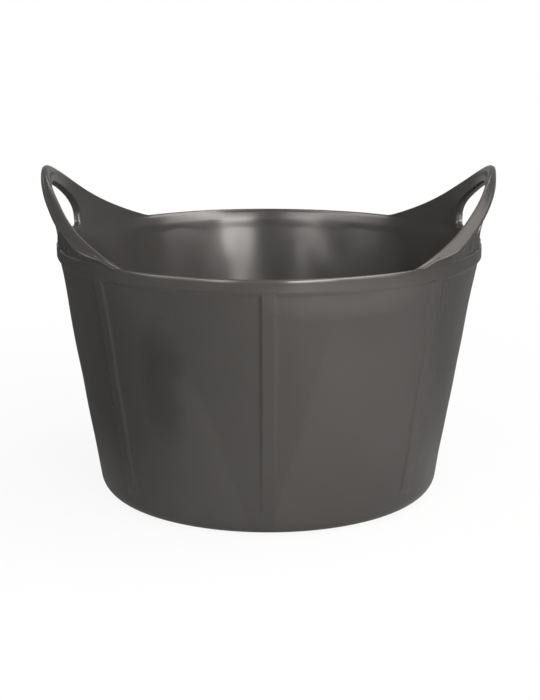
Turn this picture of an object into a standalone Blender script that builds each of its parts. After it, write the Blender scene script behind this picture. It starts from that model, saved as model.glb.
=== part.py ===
# Flexible stable bucket: a round, tapered tub moulded in soft polyethylene, with two swooping lug
# handles that rise out of the rim and bend inwards when the tub is carried.
# Metres, +Z up. The origin is the centre of the base, and the handles stand at -X and +X.
# The front, as photographed, faces -Y.
#
# The real tub is one moulding. It is divided here where its parts do different jobs, and the
# solids seat on each other with one hairline gap.

import bpy
import bmesh
import numpy as np
from math import atan, cos, hypot, pi, radians, sin, sqrt, tan
from mathutils import Vector

# Overall size
RIM_RADIUS = 0.205          # where the wall's outer line reaches the rim
RIM_HEIGHT = 0.247
BASE_RADIUS = 0.1643        # where the same line reaches the ground
HANDLE_TOP = 0.3195         # crest of each handle
GAP = 0.0003                # hairline between neighbouring solids

# Wall and base
WALL = 0.0032
BASE_FILLET = 0.019
FLOOR_RECESS = 0.002        # the middle of the floor stands this far off the ground
FOOT_WIDTH = 0.018
FLOOR_STEP = 0.005          # radial length of the slope from the recess down to the foot
GATE_RADIUS = 0.006         # the mould's injection point, under the middle of the floor
GATE_DEPTH = 0.0008

# Rim band
BAND_HEIGHT = 0.014
BAND_PROUD_OUT = 0.0009
BAND_PROUD_IN = 0.0008
BAND_ROUND = 0.0014         # rounding of its top outer edge

# Wall ribs
RIB_WIDTH = 0.0145
RIB_PROUD = 0.0011
RIB_FOOT = 0.015            # height at which a rib has faded into the base
RIB_FADE = 0.022            # the length over which it fades
RIB_ANGLES = {              # degrees round from the front, towards +X
    "wall_rib_front": 0,
    "wall_rib_front_right": 49,
    "wall_rib_back_right": 131,
    "wall_rib_back": 180,
    "wall_rib_back_left": 229,
    "wall_rib_front_left": 311,
}

# Handles, given across the tub (y), outwards from the panel's inner face (depth) and up (z)
HANDLE_SPREAD = radians(50) # from the middle of a handle to each end, round the rim
PANEL = 0.0026
PANEL_LEAN = radians(6.3)   # from upright, outwards
CREST_ROUND = 0.048         # softness of the crest
SWOOP_SAG = 0.0022          # how far each shoulder sags below that curve
LUG_HALF = 0.092            # half of the part that bends

# Hand hole
HOLE_HALF = 0.070
HOLE_ARCH_START = 0.0147    # height of the straight ends above the rim
GRIP_HEIGHT = 0.0195        # from the top of the hole to the crest
HOLE_POWER = 1.6            # 2 is an ellipse, and less is more pointed
COLLAR = 0.0024
COLLAR_FLARE = 0.005
COLLAR_DEPTH = 0.0065

# Rolled flange along the top edge
ROLL_WIDTH = 0.0106
ROLL_HEIGHT = 0.0060
ROLL_WEB = 0.0022
ROLL_FALL = 0.0026          # its outer edge is this much lower than the top edge
ROLL_CROWN = 0.0006         # how far its face swells above a straight slope
ROLL_LIP = 0.0032
ROLL_LIP_WALL = 0.0014
ROLL_CORNER = 0.0022
ROLL_EDGE = 0.0016
ROLL_INSIDE = 0.0008
ROLL_END_WIDTH = 0.0050     # where it runs out into the rim
ROLL_TAPER = 0.038

# Webs and braces outside the handle's feet
WEB = 0.0024
WEB_FROM_COLLAR = 0.0065
WEB_BOTTOM = 0.0012         # width at the foot
WEB_RAISED = 0.0030         # its foot above the rim
BRACE = 0.0042
BRACE_DEPTH = 0.0030
BRACE_DROP = 0.0150         # its upper end under the top edge
BRACE_RUN = 0.0277          # across the tub, from its upper end to its lower
BRACE_RAISED = 0.0042

# How finely curves are divided
AROUND = 96
FILLET_STEPS = 7
RIB_STEPS = 12
SWOOP_STEPS = 22
LEG_STEPS = 9
PANEL_RINGS = 3

SLOPE = (RIM_RADIUS - BASE_RADIUS) / RIM_HEIGHT
TAPER = atan(SLOPE)
LEVEL_WALL = WALL / cos(TAPER)
PANEL_FOOT = RIM_HEIGHT + GAP
PANEL_RADIUS = RIM_RADIUS - LEVEL_WALL - BAND_PROUD_IN
HANDLE_HALF = RIM_RADIUS * sin(HANDLE_SPREAD)
HOLE_TOP = HANDLE_TOP - GRIP_HEIGHT
HINGE_X = sqrt(PANEL_RADIUS ** 2 - LUG_HALF ** 2) - GAP
HINGE_Z = PANEL_FOOT


def wall_radius(z):
    return BASE_RADIUS + SLOPE * z


def arc(centre, radius, start, end, steps):
    # Points on a circle, from start to end in degrees.
    angles = np.radians(np.linspace(start, end, steps + 1))
    return [(centre[0] + radius * cos(a), centre[1] + radius * sin(a)) for a in angles]


def plastic(name, colour, roughness):
    made = bpy.data.materials.new(name)
    made.use_nodes = True
    shader = made.node_tree.nodes["Principled BSDF"]
    shader.inputs["Base Color"].default_value = (*colour, 1)
    shader.inputs["Roughness"].default_value = roughness
    shader.inputs["Metallic"].default_value = 0
    made.diffuse_color = (*colour, 1)
    return made


def place(name, bm, material, parent=None, sharp=35):
    # Turns a bmesh in world coordinates into a smooth-shaded object, with its origin at its parent.
    bmesh.ops.remove_doubles(bm, verts=bm.verts, dist=1e-6)
    bmesh.ops.recalc_face_normals(bm, faces=bm.faces)
    if parent:
        bmesh.ops.translate(bm, verts=bm.verts, vec=-parent.location)
    mesh = bpy.data.meshes.new(name)
    bm.to_mesh(mesh)
    bm.free()
    mesh.shade_smooth()
    mesh.set_sharp_from_angle(angle=radians(sharp))
    mesh.materials.append(material)
    made = bpy.data.objects.new(name, mesh)
    made.parent = parent
    bpy.context.scene.collection.objects.link(made)
    return made


def turn(name, profile, material, closed=True):
    # Spins a profile of (radius, height) points once round the tub's axis.
    bm = bmesh.new()
    points = [bm.verts.new((r, 0, z)) for r, z in profile]
    ends = points[1:] + points[:1] if closed else points[1:]
    edges = [bm.edges.new(pair) for pair in zip(points, ends)]
    bmesh.ops.spin(bm, geom=points + edges, cent=(0, 0, 0), axis=(0, 0, 1), angle=2 * pi, steps=AROUND, use_merge=True)
    return place(name, bm, material)


def loft(name, sections, material, parent=None):
    # Skins closed sections that all have the same number of points, and caps both ends. Its warped quads are
    # divided here, so that everything that reads the mesh sees the same surface.
    bm = bmesh.new()
    rows = [[bm.verts.new(p) for p in section] for section in sections]
    for row, following in zip(rows, rows[1:]):
        for i in range(len(row)):
            j = (i + 1) % len(row)
            bm.faces.new((row[i], row[j], following[j], following[i]))
    for cap in (rows[0], rows[-1]):
        bm.faces.new(cap)
    bmesh.ops.triangulate(bm, faces=bm.faces)
    return place(name, bm, material, parent)


def base_and_wall(material):
    # A rounded corner joins the wall to the foot. Its inner and outer arcs share a centre.
    reach = BASE_FILLET / tan((pi / 2 + TAPER) / 2)
    centre = (BASE_RADIUS - reach, BASE_FILLET)
    top = RIM_HEIGHT - BAND_HEIGHT - GAP
    lean = -TAPER * 180 / pi
    outside = arc(centre, BASE_FILLET, -90, lean, FILLET_STEPS)
    inside = arc(centre, BASE_FILLET - WALL, lean, -90, FILLET_STEPS)
    turn("base_corner", outside + inside, material)

    rise = (GAP * sin(TAPER), GAP * cos(TAPER))
    foot = [(r + rise[0], z + rise[1]) for r, z in (inside[0], outside[-1])]
    wall = foot + [(wall_radius(top), top), (wall_radius(top) - LEVEL_WALL, top)]
    turn("tub_wall", wall, material)

    foot_out = centre[0] - GAP
    foot_in = foot_out - FOOT_WIDTH
    turn("foot_ring", [(foot_in, 0), (foot_out, 0), (foot_out, WALL), (foot_in, WALL)], material)

    edge = foot_in - GAP
    flat = edge - FLOOR_STEP
    under = [(0, FLOOR_RECESS - GATE_DEPTH), (GATE_RADIUS - GATE_DEPTH, FLOOR_RECESS - GATE_DEPTH)]
    under += [(GATE_RADIUS, FLOOR_RECESS), (flat, FLOOR_RECESS), (edge, 0)]
    over = [(edge, WALL), (flat, WALL + FLOOR_RECESS), (0, WALL + FLOOR_RECESS)]
    turn("tub_floor", under + over, material, closed=False)


def rim_band(material):
    # A stiff band, proud of the wall on both sides, that also carries the handles.
    low = RIM_HEIGHT - BAND_HEIGHT
    high = RIM_HEIGHT - BAND_ROUND
    outer_low = wall_radius(low) + BAND_PROUD_OUT
    outer_high = wall_radius(high) + BAND_PROUD_OUT
    inner_low = wall_radius(low) - LEVEL_WALL - BAND_PROUD_IN
    step = BAND_PROUD_OUT / 2
    profile = [(outer_low - step, low), (outer_low, low + step)]
    profile += arc((outer_high - BAND_ROUND, high), BAND_ROUND, 0, 90, 4)
    profile += [(PANEL_RADIUS + BAND_PROUD_IN / 2, RIM_HEIGHT), (PANEL_RADIUS, RIM_HEIGHT - BAND_PROUD_IN / 2)]
    profile += [(inner_low, low + step), (inner_low + step, low)]
    turn("rim_band", profile, material)


def wall_rib(name, degrees, material):
    # A shallow strip up the wall with chamfered sides. It fades into the rounded corner of the base.
    turn_by = radians(degrees)
    top = RIM_HEIGHT - BAND_HEIGHT - GAP
    sections = []
    for z in np.linspace(RIB_FOOT + BASE_FILLET / 8, top, RIB_STEPS + 1):
        fade = min(1, (z - RIB_FOOT) / RIB_FADE)
        proud = GAP + (RIB_PROUD - GAP) * fade
        seat = wall_radius(z) + GAP
        section = []
        for across, out in ((-1, 0), (-0.86, 1), (-0.4, 1), (0, 1), (0.4, 1), (0.86, 1), (1, 0), (0.4, 0), (0, 0), (-0.4, 0)):
            radius = seat + out * proud
            angle = turn_by + across * RIB_WIDTH / 2 / seat
            section.append((radius * sin(angle), -radius * cos(angle), z))
        sections.append(section)
    loft(name, sections, material)


def top_edge(y):
    # Height of the handle's top edge: a broad blunted peak, with shoulders that sag a little below it.
    run = hypot(y, CREST_ROUND) - CREST_ROUND
    full_run = hypot(HANDLE_HALF, CREST_ROUND) - CREST_ROUND
    fall = (HANDLE_TOP - RIM_HEIGHT) * run / full_run
    return HANDLE_TOP - fall - SWOOP_SAG * sin(pi * min(1, abs(y) / HANDLE_HALF))


def on_handle(side, y, depth, z):
    # The panel is part of a round wall, so its place across the tub sets its x.
    radius = PANEL_RADIUS + tan(PANEL_LEAN) * (z - RIM_HEIGHT) + depth
    return Vector((side * sqrt(radius ** 2 - y ** 2), y, z))


def hole_outline():
    # Straight ends, then an arch: a superellipse as wide as the hole. Ordered from +y over to -y.
    shoulder = RIM_HEIGHT + HOLE_ARCH_START
    t = np.linspace(0, pi, 241)
    y = HOLE_HALF * np.sign(np.cos(t)) * np.abs(np.cos(t)) ** (2 / HOLE_POWER)
    z = shoulder + (HOLE_TOP - shoulder) * np.abs(np.sin(t)) ** (2 / HOLE_POWER)
    y = np.concatenate(([HOLE_HALF], y, [-HOLE_HALF]))
    z = np.concatenate(([PANEL_FOOT], z, [PANEL_FOOT]))
    return np.stack((y, z), axis=1)


def spread_out(outline, distance):
    # Moves every point of the outline away from the hole, square to the line through its neighbours.
    along = np.gradient(outline, axis=0)
    along[0] = outline[1] - outline[0]
    along[-1] = outline[-1] - outline[-2]
    along /= np.linalg.norm(along, axis=1)[:, None]
    return outline + distance * np.stack((along[:, 1], -along[:, 0]), axis=1)


def panel_outline():
    # The outer boundary of the part that bends: up one cut side, along under the flange, and down the other.
    seat = ROLL_HEIGHT + GAP
    right = [(LUG_HALF, z) for z in np.linspace(PANEL_FOOT, top_edge(LUG_HALF) - seat, 4)]
    middle = [(y, top_edge(y) - seat) for y in np.linspace(LUG_HALF, -LUG_HALF, SWOOP_STEPS + 1)[1:-1]]
    return np.array(right + middle + [(-y, z) for y, z in reversed(right)])


def angles_round_foot(points):
    # Angles round the middle of the hole's foot, measured as on an ellipse that fits the points.
    half = points[:, 0].max()
    tall = points[:, 1].max() - PANEL_FOOT
    return np.arctan2((points[:, 1] - PANEL_FOOT) / tall, points[:, 0] / half)


def stations(outline):
    # How far along the hole's outline, counted in its points, each point of the panel's outline lies.
    return np.interp(angles_round_foot(panel_outline()), angles_round_foot(outline), np.arange(len(outline)))


def at_stations(outline, where):
    steps = np.arange(len(outline))
    return np.stack((np.interp(where, steps, outline[:, 0]), np.interp(where, steps, outline[:, 1])), axis=1)


def handle_panel(name, side, material, hinge):
    # The upright wall of the handle, ringed out from the hand hole to the cut-off sides and the top edge.
    cut = spread_out(hole_outline(), COLLAR_FLARE + GAP)
    sections = []
    for a, b in zip(at_stations(cut, stations(cut)), panel_outline()):
        line = [a + (b - a) * share for share in np.linspace(0, 1, PANEL_RINGS + 1)]
        section = [on_handle(side, y, 0, z) for y, z in line]
        section += [on_handle(side, y, PANEL, z) for y, z in reversed(line)]
        sections.append(section)
    loft(name, sections, material, hinge)


def hole_collar(name, side, material, hinge):
    # The rolled edge of the hand hole: it flares into the inner face and stands out as a flange outside.
    # It is divided where the panel is, so that the two keep the same hairline all along.
    flare = COLLAR_FLARE
    section = arc((flare, flare), flare, -90, -180, 4)
    section += arc((COLLAR / 3, COLLAR_DEPTH - COLLAR / 3), COLLAR / 3, 180, 90, 2)
    section += [(COLLAR, COLLAR_DEPTH)]
    section += arc((flare, flare), flare - COLLAR, -180, -90, 3)
    where = stations(spread_out(hole_outline(), flare + GAP))
    rings = [at_stations(spread_out(hole_outline(), away), where) for away, _ in section]
    sections = []
    for points in zip(*rings):
        sections.append([on_handle(side, y, depth, z) for (y, z), (_, depth) in zip(points, section)])
    loft(name, sections, material, hinge)


def roll_section(width, shrink):
    # An inverted L with a rounded inner corner, a swelling face that falls outwards, and a small lip.
    top = arc((ROLL_CORNER, -ROLL_CORNER), ROLL_CORNER, 180, 90, 3)
    crown = [((width + ROLL_CORNER - ROLL_EDGE) / 2, ROLL_CROWN - ROLL_FALL / 2)]
    edge = arc((width - ROLL_EDGE, -ROLL_FALL - ROLL_EDGE), ROLL_EDGE, 90, 0, 2)
    lip = [(width, -ROLL_FALL - ROLL_LIP), (width - ROLL_LIP_WALL, -ROLL_FALL - ROLL_LIP)]
    under = [(width - ROLL_LIP_WALL, -ROLL_FALL - ROLL_WEB), (PANEL + ROLL_INSIDE, -ROLL_WEB)]
    stem = [(PANEL, -ROLL_WEB - ROLL_INSIDE), (PANEL, -ROLL_HEIGHT), (0, -ROLL_HEIGHT)]
    return [(depth, drop * shrink) for depth, drop in top + crown + edge + lip + under + stem]


def roll(name, side, start, end, steps, material, hinge=None):
    # The flange along the top edge from y = start to y = end. It narrows and thins out into the rim.
    sections = []
    for y in np.linspace(start, end, steps + 1):
        share = min(1, max(0, (HANDLE_HALF + ROLL_FALL - abs(y)) / ROLL_TAPER))
        width = ROLL_END_WIDTH + (ROLL_WIDTH - ROLL_END_WIDTH) * share * share * (3 - 2 * share)
        top = top_edge(y)
        shrink = min(1, (top - PANEL_FOOT) / ROLL_HEIGHT)
        sections.append([on_handle(side, y, depth, top + drop) for depth, drop in roll_section(width, shrink)])
    loft(name, sections, material, hinge)


def run_out(height):
    # How far across the tub the top edge is still this high above the handle's foot.
    across = np.linspace(LUG_HALF, HANDLE_HALF, 400)
    tall = np.array([top_edge(y) - PANEL_FOOT for y in across])
    return float(np.interp(-height, -tall, across))


def leg_panel(name, side, end, material):
    # The panel's leg beside the part that bends, down to where only the flange is left.
    seat = ROLL_HEIGHT + GAP
    start = LUG_HALF + GAP
    last = run_out(seat + 2 * GAP)
    sections = []
    for across in np.linspace(start, last, LEG_STEPS + 1):
        y = end * across
        heights = np.linspace(PANEL_FOOT, top_edge(y) - seat, 3)
        section = [on_handle(side, y, 0, z) for z in heights]
        section += [on_handle(side, y, PANEL, z) for z in reversed(heights)]
        sections.append(section)
    loft(name, sections, material)


def grip_web(name, side, end, material, hinge):
    # A thin upright plate under the flange, wide at the top and narrow at the foot.
    middle = HOLE_HALF + WEB_FROM_COLLAR + WEB / 2
    seat = PANEL + GAP
    low = PANEL_FOOT + WEB_RAISED
    wide = ROLL_WIDTH - ROLL_LIP_WALL - 3 * GAP
    sections = []
    for across in (middle - WEB / 2, middle + WEB / 2):
        y = end * across
        high = top_edge(middle + WEB / 2) - ROLL_FALL - ROLL_WEB - ROLL_INSIDE
        bulge = seat + 0.45 * (wide - seat)
        shape = [(seat, low), (seat + WEB_BOTTOM, low), (bulge, (low + high) / 2), (wide, high), (seat, high)]
        sections.append([on_handle(side, y, depth, z) for depth, z in shape])
    loft(name, sections, material, hinge)


def leg_brace(name, side, end, material):
    # A sloping ridge on the leg's outer face, from under the flange down towards the rim band.
    start = Vector((LUG_HALF + GAP + BRACE / 2, 0))
    start.y = top_edge(start.x) - BRACE_DROP
    finish = Vector((start.x + BRACE_RUN, PANEL_FOOT + BRACE_RAISED))
    along = (finish - start).normalized()
    square = Vector((-along.y, along.x))
    seat = PANEL + GAP
    sections = []
    for share in np.linspace(0, 1, 5):
        middle = start.lerp(finish, share)
        tall = BRACE_DEPTH * (1 - 0.5 * share)
        shape = [(-0.5, 0), (-0.28, tall), (0.28, tall), (0.5, 0)]
        points = [(middle + square * BRACE * across, depth) for across, depth in shape]
        sections.append([on_handle(side, end * p.x, seat + depth, p.y) for p, depth in points])
    loft(name, sections, material)


def handle(word, side, material):
    # One handle. What bends is parented to an empty on the line that it bends about.
    hinge = bpy.data.objects.new("bend_line_" + word, None)
    hinge.location = (side * HINGE_X, 0, HINGE_Z)
    bpy.context.scene.collection.objects.link(hinge)
    handle_panel("handle_panel_" + word, side, material, hinge)
    hole_collar("hand_hole_collar_" + word, side, material, hinge)
    roll("grip_roll_" + word, side, -LUG_HALF, LUG_HALF, SWOOP_STEPS, material, hinge)
    thinnest = run_out(ROLL_HEIGHT / 5)
    for place_word, end in (("front", -1), ("back", 1)):
        both = place_word + "_" + word
        grip_web("grip_web_" + both, side, end, material, hinge)
        leg_panel("leg_panel_" + both, side, end, material)
        roll("leg_roll_" + both, side, end * (LUG_HALF + GAP), end * thinnest, LEG_STEPS, material)
        leg_brace("leg_brace_" + both, side, end, material)


for old in list(bpy.data.objects):
    bpy.data.objects.remove(old)

tub_plastic = plastic("tub polyethylene", (0.085, 0.080, 0.076), 0.34)
handle_plastic = plastic("handle polyethylene", (0.095, 0.090, 0.086), 0.34)
base_and_wall(tub_plastic)
rim_band(tub_plastic)
for rib_name, rib_angle in RIB_ANGLES.items():
    wall_rib(rib_name, rib_angle, tub_plastic)
for side_word, side_sign in (("left", -1), ("right", 1)):
    handle(side_word, side_sign, handle_plastic)
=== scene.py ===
# Flexible bucket in soft dark grey polyethylene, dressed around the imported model.
# Metres, +Z up, the two handles at -X and +X, and the photographed side facing -Y.

from math import radians

import bmesh
import bpy
import numpy as np
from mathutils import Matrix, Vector


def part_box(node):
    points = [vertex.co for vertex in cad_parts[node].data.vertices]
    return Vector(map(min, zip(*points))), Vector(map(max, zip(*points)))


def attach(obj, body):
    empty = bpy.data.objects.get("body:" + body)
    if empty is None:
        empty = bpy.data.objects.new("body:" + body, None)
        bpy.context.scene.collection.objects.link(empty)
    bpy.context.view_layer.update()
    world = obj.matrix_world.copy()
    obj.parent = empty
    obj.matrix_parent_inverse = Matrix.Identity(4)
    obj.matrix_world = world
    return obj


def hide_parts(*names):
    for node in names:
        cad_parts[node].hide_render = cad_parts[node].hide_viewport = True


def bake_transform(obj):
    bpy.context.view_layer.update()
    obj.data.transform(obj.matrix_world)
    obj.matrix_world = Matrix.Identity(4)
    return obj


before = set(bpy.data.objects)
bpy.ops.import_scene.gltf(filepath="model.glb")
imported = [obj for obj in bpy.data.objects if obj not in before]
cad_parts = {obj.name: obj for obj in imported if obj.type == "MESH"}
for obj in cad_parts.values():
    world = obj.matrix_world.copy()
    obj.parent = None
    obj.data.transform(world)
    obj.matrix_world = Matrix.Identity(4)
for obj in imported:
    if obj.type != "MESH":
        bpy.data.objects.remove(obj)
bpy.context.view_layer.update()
print("frame loaded:", len(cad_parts), "nodes")

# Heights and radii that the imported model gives
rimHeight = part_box("rim_band")[1].z
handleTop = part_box("grip_roll_left")[1].z
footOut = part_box("foot_ring")[1].x

# What a user would change on the moulding itself
mould = {
    "rimRadius": 0.205,         # where the wall's outer line reaches the rim
    "baseRadius": 0.1643,       # where the same line reaches the ground
    "wall": 0.0032,
    "baseFillet": 0.019,
    "footWidth": 0.018,
    "footLift": 0.0006,         # softness of the foot's inner edge
    "bandHeight": 0.014,
    "bandStep": 0.0052,         # height over which the wall swells out to the band
    "bandProudLow": 0.0022,     # how far the band's face stands out, low
    "bandProudHigh": 0.0006,    # and high
    "bandProudIn": 0.0004,
    "bandLeanIn": 0.0010,       # how far the band's inner face leans back towards its top
    "bandStepIn": 0.010,        # height over which it swells out inside
    "bandStepInLug": 0.034,     # the same under the handles
    "bandRound": 0.0014,        # the rim's outer edge is an ellipse, this wide
    "bandRoundTall": 0.0044,    # and this tall, less under the handles
    "bandRoundUnder": 0.0018,
    "bandRoundIn": 0.0010,      # rounding of the rim's inner edge
    "ribWidth": 0.0150,
    "ribProud": 0.0022,
    "ribSide": 0.0022,          # how far across the chamfered side of a rib reaches
    "ribTop": 0.0062,           # its upper end under the rim
    "ribFoot": 0.016,           # height at which a rib begins
    "ribFade": 0.024,           # and the length over which it comes up
    "ribAngles": (0, 49, 131, 180),
}

# What a user would change on the handles
handle = {
    "half": mould["rimRadius"] * np.sin(np.radians(50)),
    "lean": np.tan(np.radians(6.3)),
    "bendSoft": 0.003,          # softness of the bend from the wall's slope to that lean
    "panel": 0.0026,
    "crestRound": 0.050,
    "sag": 0.0024,              # how far each shoulder sags below that curve
    "haunch": 0.0008,           # and how far its upper half swells again
    "kinkSoft": 0.0016,         # softness of the bend where the handle leaves the rim
    "leastRise": 0.0003,        # below this the top edge is the rim
    "holeHalf": 0.0695,
    "holeSill": 0.0038,         # the hole's lower edge above the rim
    "holeCorner": 0.0045,       # rounding of the hole's lower corners
    "holeStraight": 0.0155,     # height of its straight ends above the rim
    "holeLean": np.radians(7),  # they lean in towards the sill
    "gripHeight": 0.0172,       # from the top of the hole to the crest
    "holePower": 1.1,           # below 2 the arch is straighter than an ellipse
    "holeBlunt": 0.12,          # and this rounds its top again
    "flare": 0.0024,            # rounding of the hole's edge inside
    "collarFoot": 0.0012,       # fillet between the collar and the panel outside
    "sillRound": 0.0018,
    "collar": 0.0024,
    "collarDepth": 0.0065,      # from the inner face out
    "collarFade": 0.012,        # the collar dies away along the sill over this length
    "rollWidth": 0.0108,        # the flange: its width on the legs,
    "rollWidthCrest": 0.0088,   # at the crest
    "rollEnd": 0.0050,          # and at its ends
    "crestReach": 0.085,        # how far from the middle the crest's sizes have become the legs'
    "rollTaper": 0.027,         # its width falls off over this length,
    "rollTaperEnd": 0.012,      # which ends this far before the handle does
    "rollThin": 0.040,          # and its thickness over this one,
    "rollThinnest": 0.35,       # down to this share
    "flushFrom": 0.100,         # across the tub: from here the leg's outer face moves out,
    "flushTo": 0.124,           # until here it is flush with the band
    "rollWeb": 0.0022,          # its thickness
    "rollFall": 0.0030,         # how much lower its outer edge is
    "rollFallCrest": 0.0004,
    "rollCrown": 0.0006,        # how far its face swells above a straight slope
    "rollEdge": 0.0021,         # rounding of its outer edge
    "rollEdgeCrest": 0.0032,
    "rollLip": 0.0032,          # how far the lip hangs down from it
    "rollLipWall": 0.0014,
    "rollCorner": 0.0018,       # rounding of the inner edge on the legs, and at the crest
    "rollCornerCrest": 0.0056,
    "rollInside": 0.0009,       # fillet under the flange
    "edgeTop": 0.088,           # where the column beside the hole meets the top edge
}

# How far the top edge has to rise from the rim until each feature of the handle is there in full
grown = {
    "thickness": 0.005,
    "rimEdge": 0.012,           # the tall round edge of the rim has become the band's small one
    "panel": 0.007,
    "corner": 0.010,
    "bandIn": 0.020,
    "width": (0.0004, 0.0040),  # starts at this rise, and takes this much more
    "flush": (0.0006, 0.0040),
}

# How many columns of faces run round the rim: from the seam to the handle, along its leg, and over its hole
faceCounts = {"front": 50, "leg": 56, "hole": 84}

slope = (mould["rimRadius"] - mould["baseRadius"]) / rimHeight
taper = np.arctan(slope)
levelWall = mould["wall"] / np.cos(taper)
panelRadius = mould["rimRadius"] - levelWall - mould["bandProudIn"]
holeTop = handleTop - handle["gripHeight"]
bandDepth = levelWall + mould["bandProudIn"] + mould["bandProudHigh"]


def smooth(t):
    # The cubic that leaves 0 and reaches 1 level: 3t^2 - 2t^3.
    t = np.clip(t, 0, 1)
    return t * t * (3 - 2 * t)


def mix(a, b, t):
    # The straight line from a to b.
    return a + (b - a) * t


def wallRadius(z):
    # The outside of the wall is a straight cone.
    return mould["baseRadius"] + slope * z


def panelRadiusAt(z):
    # The inner face: the wall's slope below the rim and the handle's lean above, joined by a hyperbola.
    above = z - rimHeight
    soft = handle["bendSoft"]
    half = (handle["lean"] - slope) / 2
    return panelRadius + (slope + half) * above + half * (np.sqrt(above ** 2 + soft ** 2) - soft)


def topEdge(y):
    # The handle's top edge: a peak blunted by a hyperbola, with two sines along its shoulders, and eased by
    # a parabola where it meets the rim.
    across = np.abs(y)
    blunt = handle["crestRound"]
    fullRun = np.hypot(handle["half"], blunt) - blunt
    fall = (handleTop - rimHeight) * (np.hypot(across, blunt) - blunt) / fullRun
    share = across / handle["half"]
    sines = handle["haunch"] * np.sin(2 * np.pi * share) - handle["sag"] * np.sin(np.pi * share)
    raw = handleTop - rimHeight - fall + sines
    soft = handle["kinkSoft"]
    eased = np.where(raw < soft, (np.maximum(raw, -soft) + soft) ** 2 / (4 * soft), raw)
    return rimHeight + np.where(eased < handle["leastRise"], 0, eased)


# What a user would change on the soft walls' shallow waves, in metres
waves = {
    "height": 0.00030,
    "lengths": (0.16, 0.11, 0.080, 0.060, 0.046, 0.036),
    "seed": 7,
}


def waveField(points):
    # A sum of plane waves with fixed random directions; each one's height follows its length.
    rng = np.random.default_rng(waves["seed"])
    total = np.zeros(len(points))
    for length in np.repeat(waves["lengths"], 3):
        direction = rng.normal(size=3) * (1, 1, 0.75)
        direction /= np.linalg.norm(direction)
        phase = rng.uniform(0, 2 * np.pi)
        share = (length / waves["lengths"][0]) ** 1.2
        total += share * np.sin(points @ direction * 2 * np.pi / length + phase)
    return waves["height"] * total


def spread(start, end, steps, centres=(), pull=9.0, width=0.5):
    # Angles from start to end, packed closer round each centre by a bell curve.
    fine = np.linspace(start, end, 4000)
    density = np.ones_like(fine)
    for centre in centres:
        density += pull * np.exp(-((fine - centre) / width) ** 2)
    total = np.concatenate(([0], np.cumsum((density[1:] + density[:-1]) / 2)))
    return np.interp(np.linspace(0, total[-1], steps + 1), total, fine)


def evenly(points, steps):
    # The same line, divided into equal lengths.
    lengths = np.concatenate(([0], np.cumsum(np.linalg.norm(np.diff(points, axis=0), axis=1))))
    at = np.linspace(0, lengths[-1], steps + 1)
    return np.stack([np.interp(at, lengths, points[:, k]) for k in (0, 1)], axis=1)


def holeEnd():
    # Where the arch's end meets the round corner of the sill, across the tub and up.
    corner = handle["holeCorner"]
    z = rimHeight + handle["holeSill"] + corner * (1 - np.sin(handle["holeLean"]))
    y = handle["holeHalf"] - (rimHeight + handle["holeStraight"] - z) * np.tan(handle["holeLean"])
    return y, z


def holeOutlines(steps):
    # The bore of the hand hole as two lines from -y to +y: the arch, and the sill with its round corners.
    half = handle["holeHalf"]
    corner = handle["holeCorner"]
    lean = handle["holeLean"]
    endY, endZ = holeEnd()
    shoulder = rimHeight + handle["holeStraight"]
    archY = half * np.sin(np.linspace(-np.pi / 2, np.pi / 2, 401))
    blunt = handle["holeBlunt"]
    out = (np.hypot(archY / half, blunt) - blunt) / (np.hypot(1, blunt) - blunt)
    archZ = shoulder + (holeTop - shoulder) * np.sqrt(1 - np.minimum(out, 1) ** handle["holePower"])
    ends = np.array([[-endY, endZ]])
    arch = np.concatenate((ends, np.stack((archY, archZ), 1), ends * (-1, 1)))
    turn = np.linspace(np.pi + lean, 1.5 * np.pi, 31)
    centre = (corner * np.cos(lean) - endY, endZ + corner * np.sin(lean))
    left = np.stack((centre[0] + corner * np.cos(turn), centre[1] + corner * np.sin(turn)), 1)
    sill = np.concatenate((left, left[::-1] * (-1, 1)))
    return evenly(arch, steps), evenly(sill, steps)


def awayFrom(line, direction):
    # Unit normals of a line, on the side that points away from the hole.
    along = np.gradient(line, axis=0)
    along /= np.linalg.norm(along, axis=1)[:, None]
    normal = np.stack((-along[:, 1], along[:, 0]), 1) * direction
    normal[0] = (-np.cos(handle["holeLean"]), -np.sin(handle["holeLean"]))
    normal[-1] = normal[0] * (-1, 1)
    return normal


def chamfer(t):
    # A straight rise from 0 to 1 with soft ends: half the difference of two hyperbolas, plus a half.
    soft = 0.06
    return 0.5 + (np.hypot(t, soft) - np.hypot(t - 1, soft)) / 2


def ribBump(phi, z):
    # How far a rib lifts the wall: a plateau with chamfered sides, a short fade at the top and a long one
    # at the foot. The small number at the end cuts off the chamfers' long tails.
    radius = wallRadius(z)
    lift = np.zeros(np.broadcast(phi, z).shape)
    for degrees in mould["ribAngles"]:
        across = np.abs(phi - np.radians(degrees)) * radius
        side = chamfer((mould["ribWidth"] / 2 - across) / mould["ribSide"])
        lift = np.maximum(lift, side)
    top = smooth((rimHeight - mould["ribTop"] - z) / (1.6 * mould["ribSide"]))
    foot = smooth((z - mould["ribFoot"]) / mould["ribFade"])
    return np.maximum(mould["ribProud"] * lift * top * foot - 2e-5, 0)


def aroundRibs(phi, z):
    # Columns close up towards a rib lower down, where the same width is a wider angle.
    scale = mould["rimRadius"] / wallRadius(np.clip(z, 0, rimHeight)) - 1
    moved = phi + 0 * z
    for degrees in mould["ribAngles"]:
        offset = phi - np.radians(degrees)
        moved = moved + offset * scale * np.exp(-(offset / np.radians(5)) ** 2)
    return moved


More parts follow.
